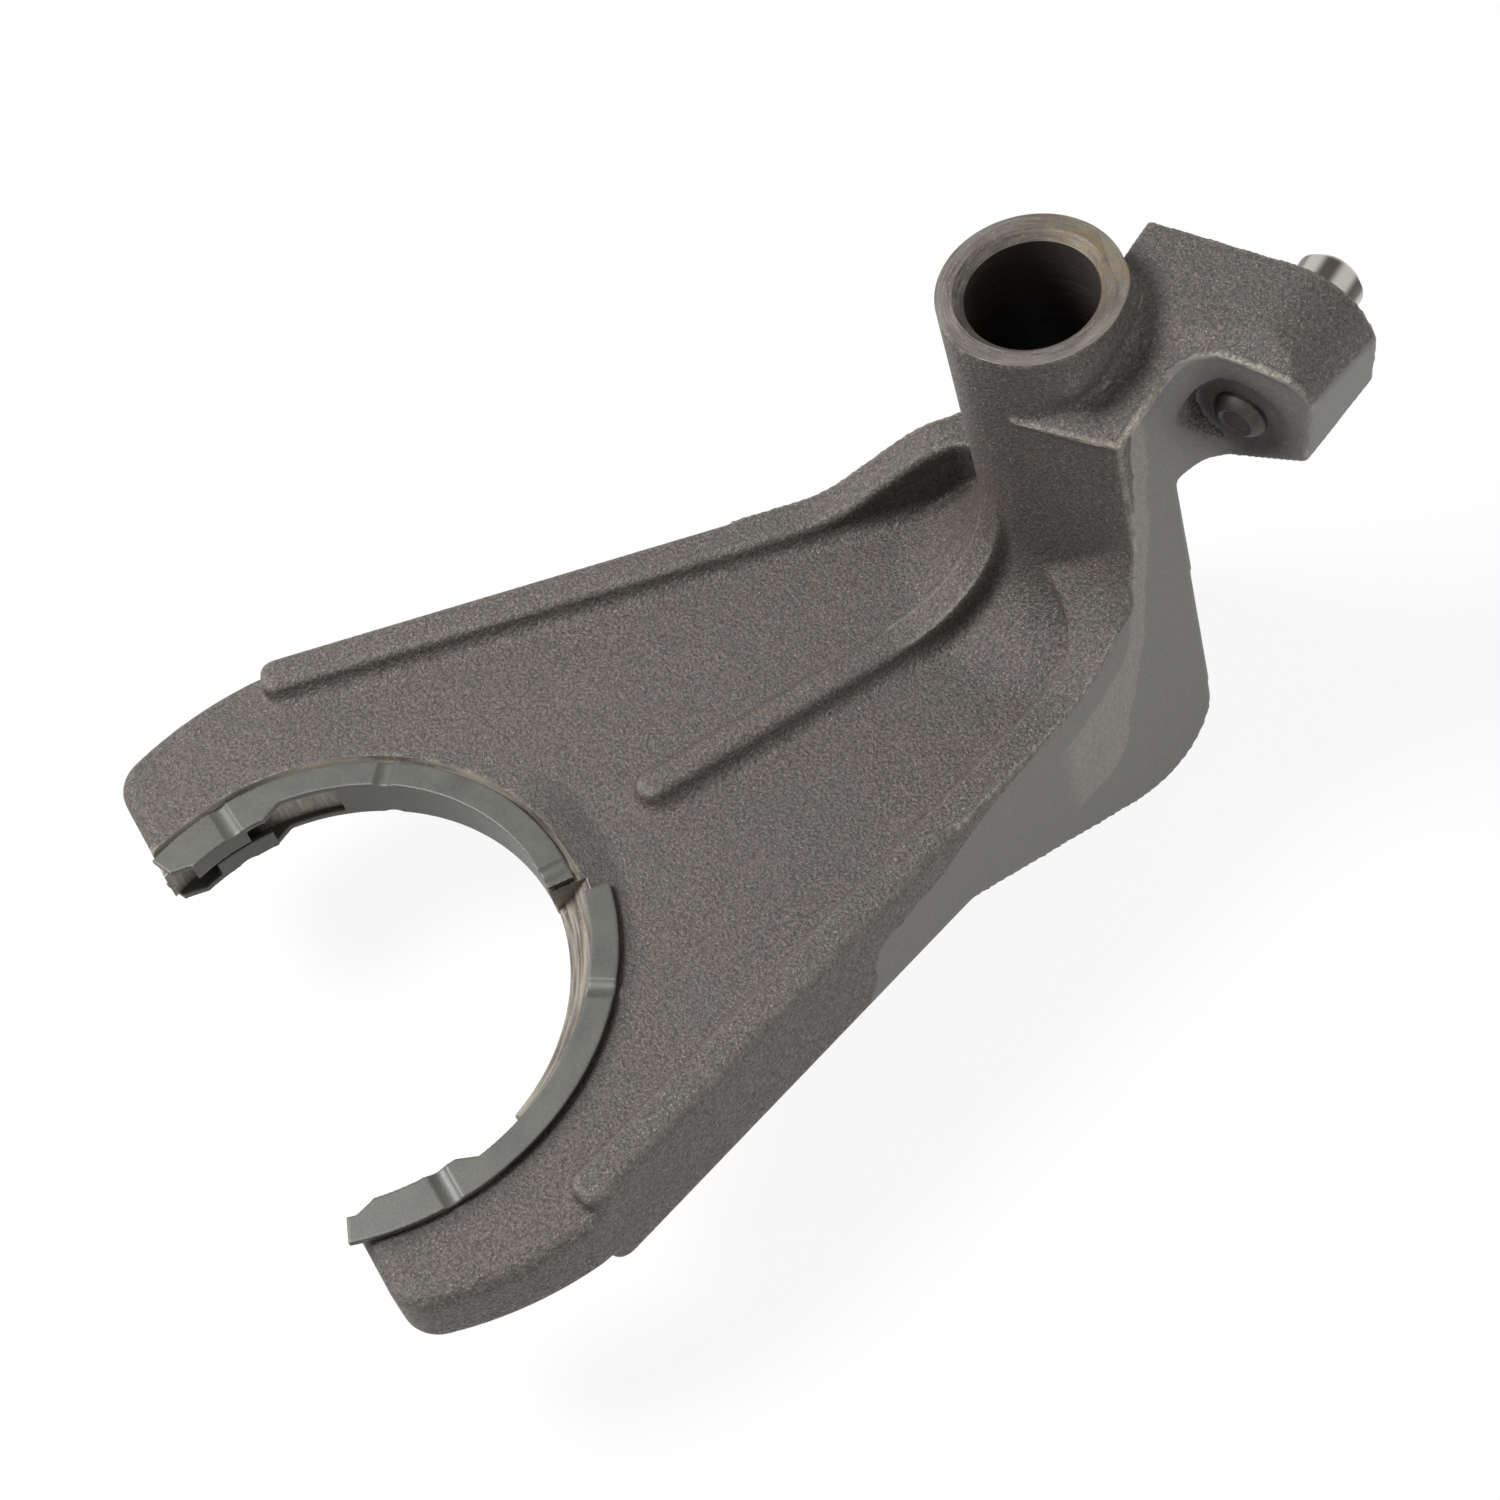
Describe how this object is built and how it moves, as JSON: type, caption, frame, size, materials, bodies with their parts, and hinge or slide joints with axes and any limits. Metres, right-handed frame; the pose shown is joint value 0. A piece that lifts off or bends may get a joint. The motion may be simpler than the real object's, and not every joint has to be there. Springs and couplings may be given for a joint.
{
  "type": "transfer case shift fork",
  "caption": "Forged steel shift fork with a long rail hub, ribbed Y-shaped plate, clip-on throat facings and an offset arm that carries a pressed pin.",
  "frame": {"origin": "axis of the rail bore, half way through the thickness of the fork plate", "axes": "+Z along the rail bore towards the arm, -X towards the throat, the arm and its pin are on the -Y side"},
  "size_m": [0.2202, 0.1336, 0.11],
  "materials": {
    "forging": "shot-blasted forging, as left, with light rust",
    "pin_steel": "turned",
    "facing": "grey-green phosphated sheet"
  },
  "bodies": {
    "root": {"fork_body": "forging", "shift_pin": "pin_steel", "facing_far_side": "facing", "facing_arm_side": "facing"}
  },
  "joints": []
}
